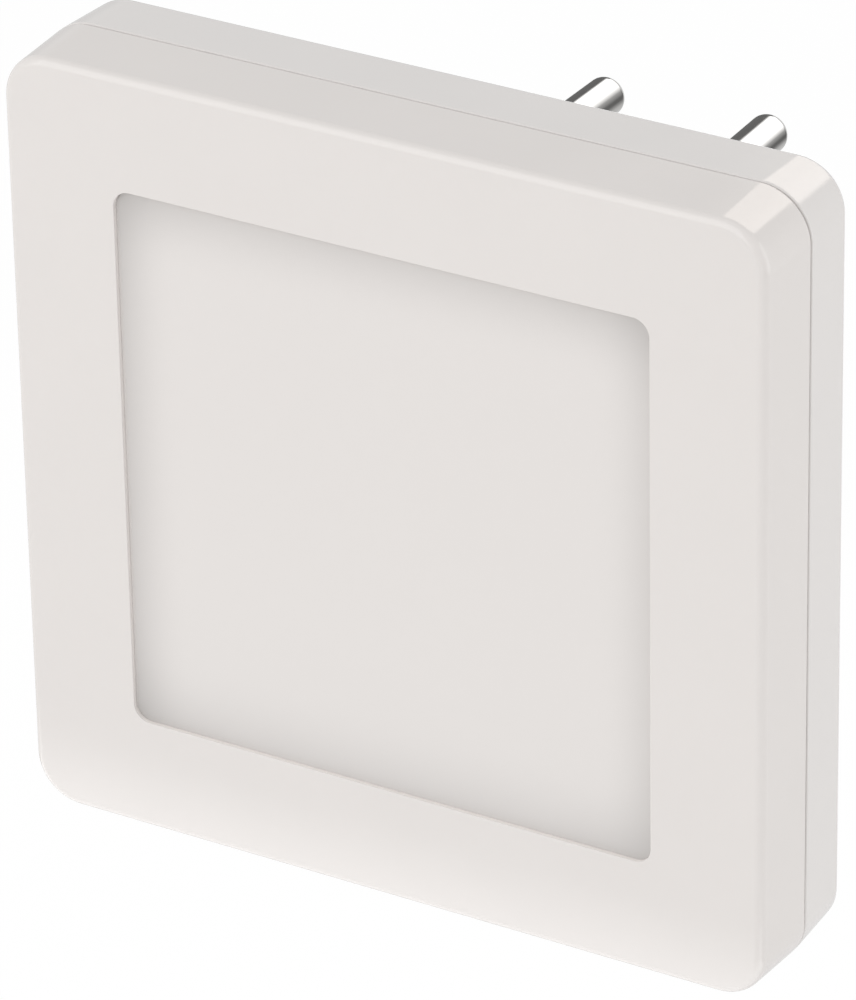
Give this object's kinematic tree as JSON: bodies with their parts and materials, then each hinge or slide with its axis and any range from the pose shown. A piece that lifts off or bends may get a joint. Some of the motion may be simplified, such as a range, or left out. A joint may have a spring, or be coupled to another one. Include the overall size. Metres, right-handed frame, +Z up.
{
  "type": "plug-in night light",
  "caption": "Square plug-in LED night light: flat two-part off-white housing with an opal panel in its face and a hollow plug body with two round pins behind it.",
  "frame": {"origin": "on the face of the plug that meets the wall socket, midway between the two pins", "axes": "+Z up, +Y along the pins into the socket, +X to the right as the light is seen from the room; the light shines towards -Y"},
  "size_m": [0.08, 0.06, 0.08],
  "materials": {
    "shell": "semi-gloss moulded plastic, off-white",
    "diffuser": "opal, satin, lets light through",
    "pin_metal": "bright nickel plating",
    "clamp_plastic": "glass-filled, matt",
    "screw_steel": "zinc plated",
    "contact_brass": "bright stamped",
    "board_green": "solder mask",
    "board_white": "white solder mask",
    "film_yellow": "moulded box",
    "can_sleeve": "shrink sleeve",
    "black_resin": "moulded resin",
    "resistor_body": "lacquered",
    "led_package": "white package with yellow phosphor",
    "lead_red": "PVC insulation",
    "lead_black": "PVC insulation",
    "tray_white": "white reflective plastic"
  },
  "bodies": {
    "root": {"front_cover": "shell", "rear_cover": "shell", "plug_housing": "shell", "diffuser": "diffuser", "housing_screws": "screw_steel", "retainer_screw": "screw_steel", "plug_pin_left": "pin_metal", "plug_pin_right": "pin_metal", "pin_retainer": "clamp_plastic", "contact_tab_left": "contact_brass", "contact_tab_right": "contact_brass", "driver_board": "board_green", "film_capacitor": "film_yellow", "electrolytic_capacitor": "can_sleeve", "bridge_rectifier": "black_resin", "zener_diode": "black_resin", "fusible_resistor": "resistor_body", "bleed_resistors": "black_resin", "lead_positive": "lead_red", "lead_negative": "lead_black", "led_board": "board_white", "leds": "led_package", "led_board_resistors": "black_resin", "reflector_tray": "tray_white"}
  },
  "joints": []
}
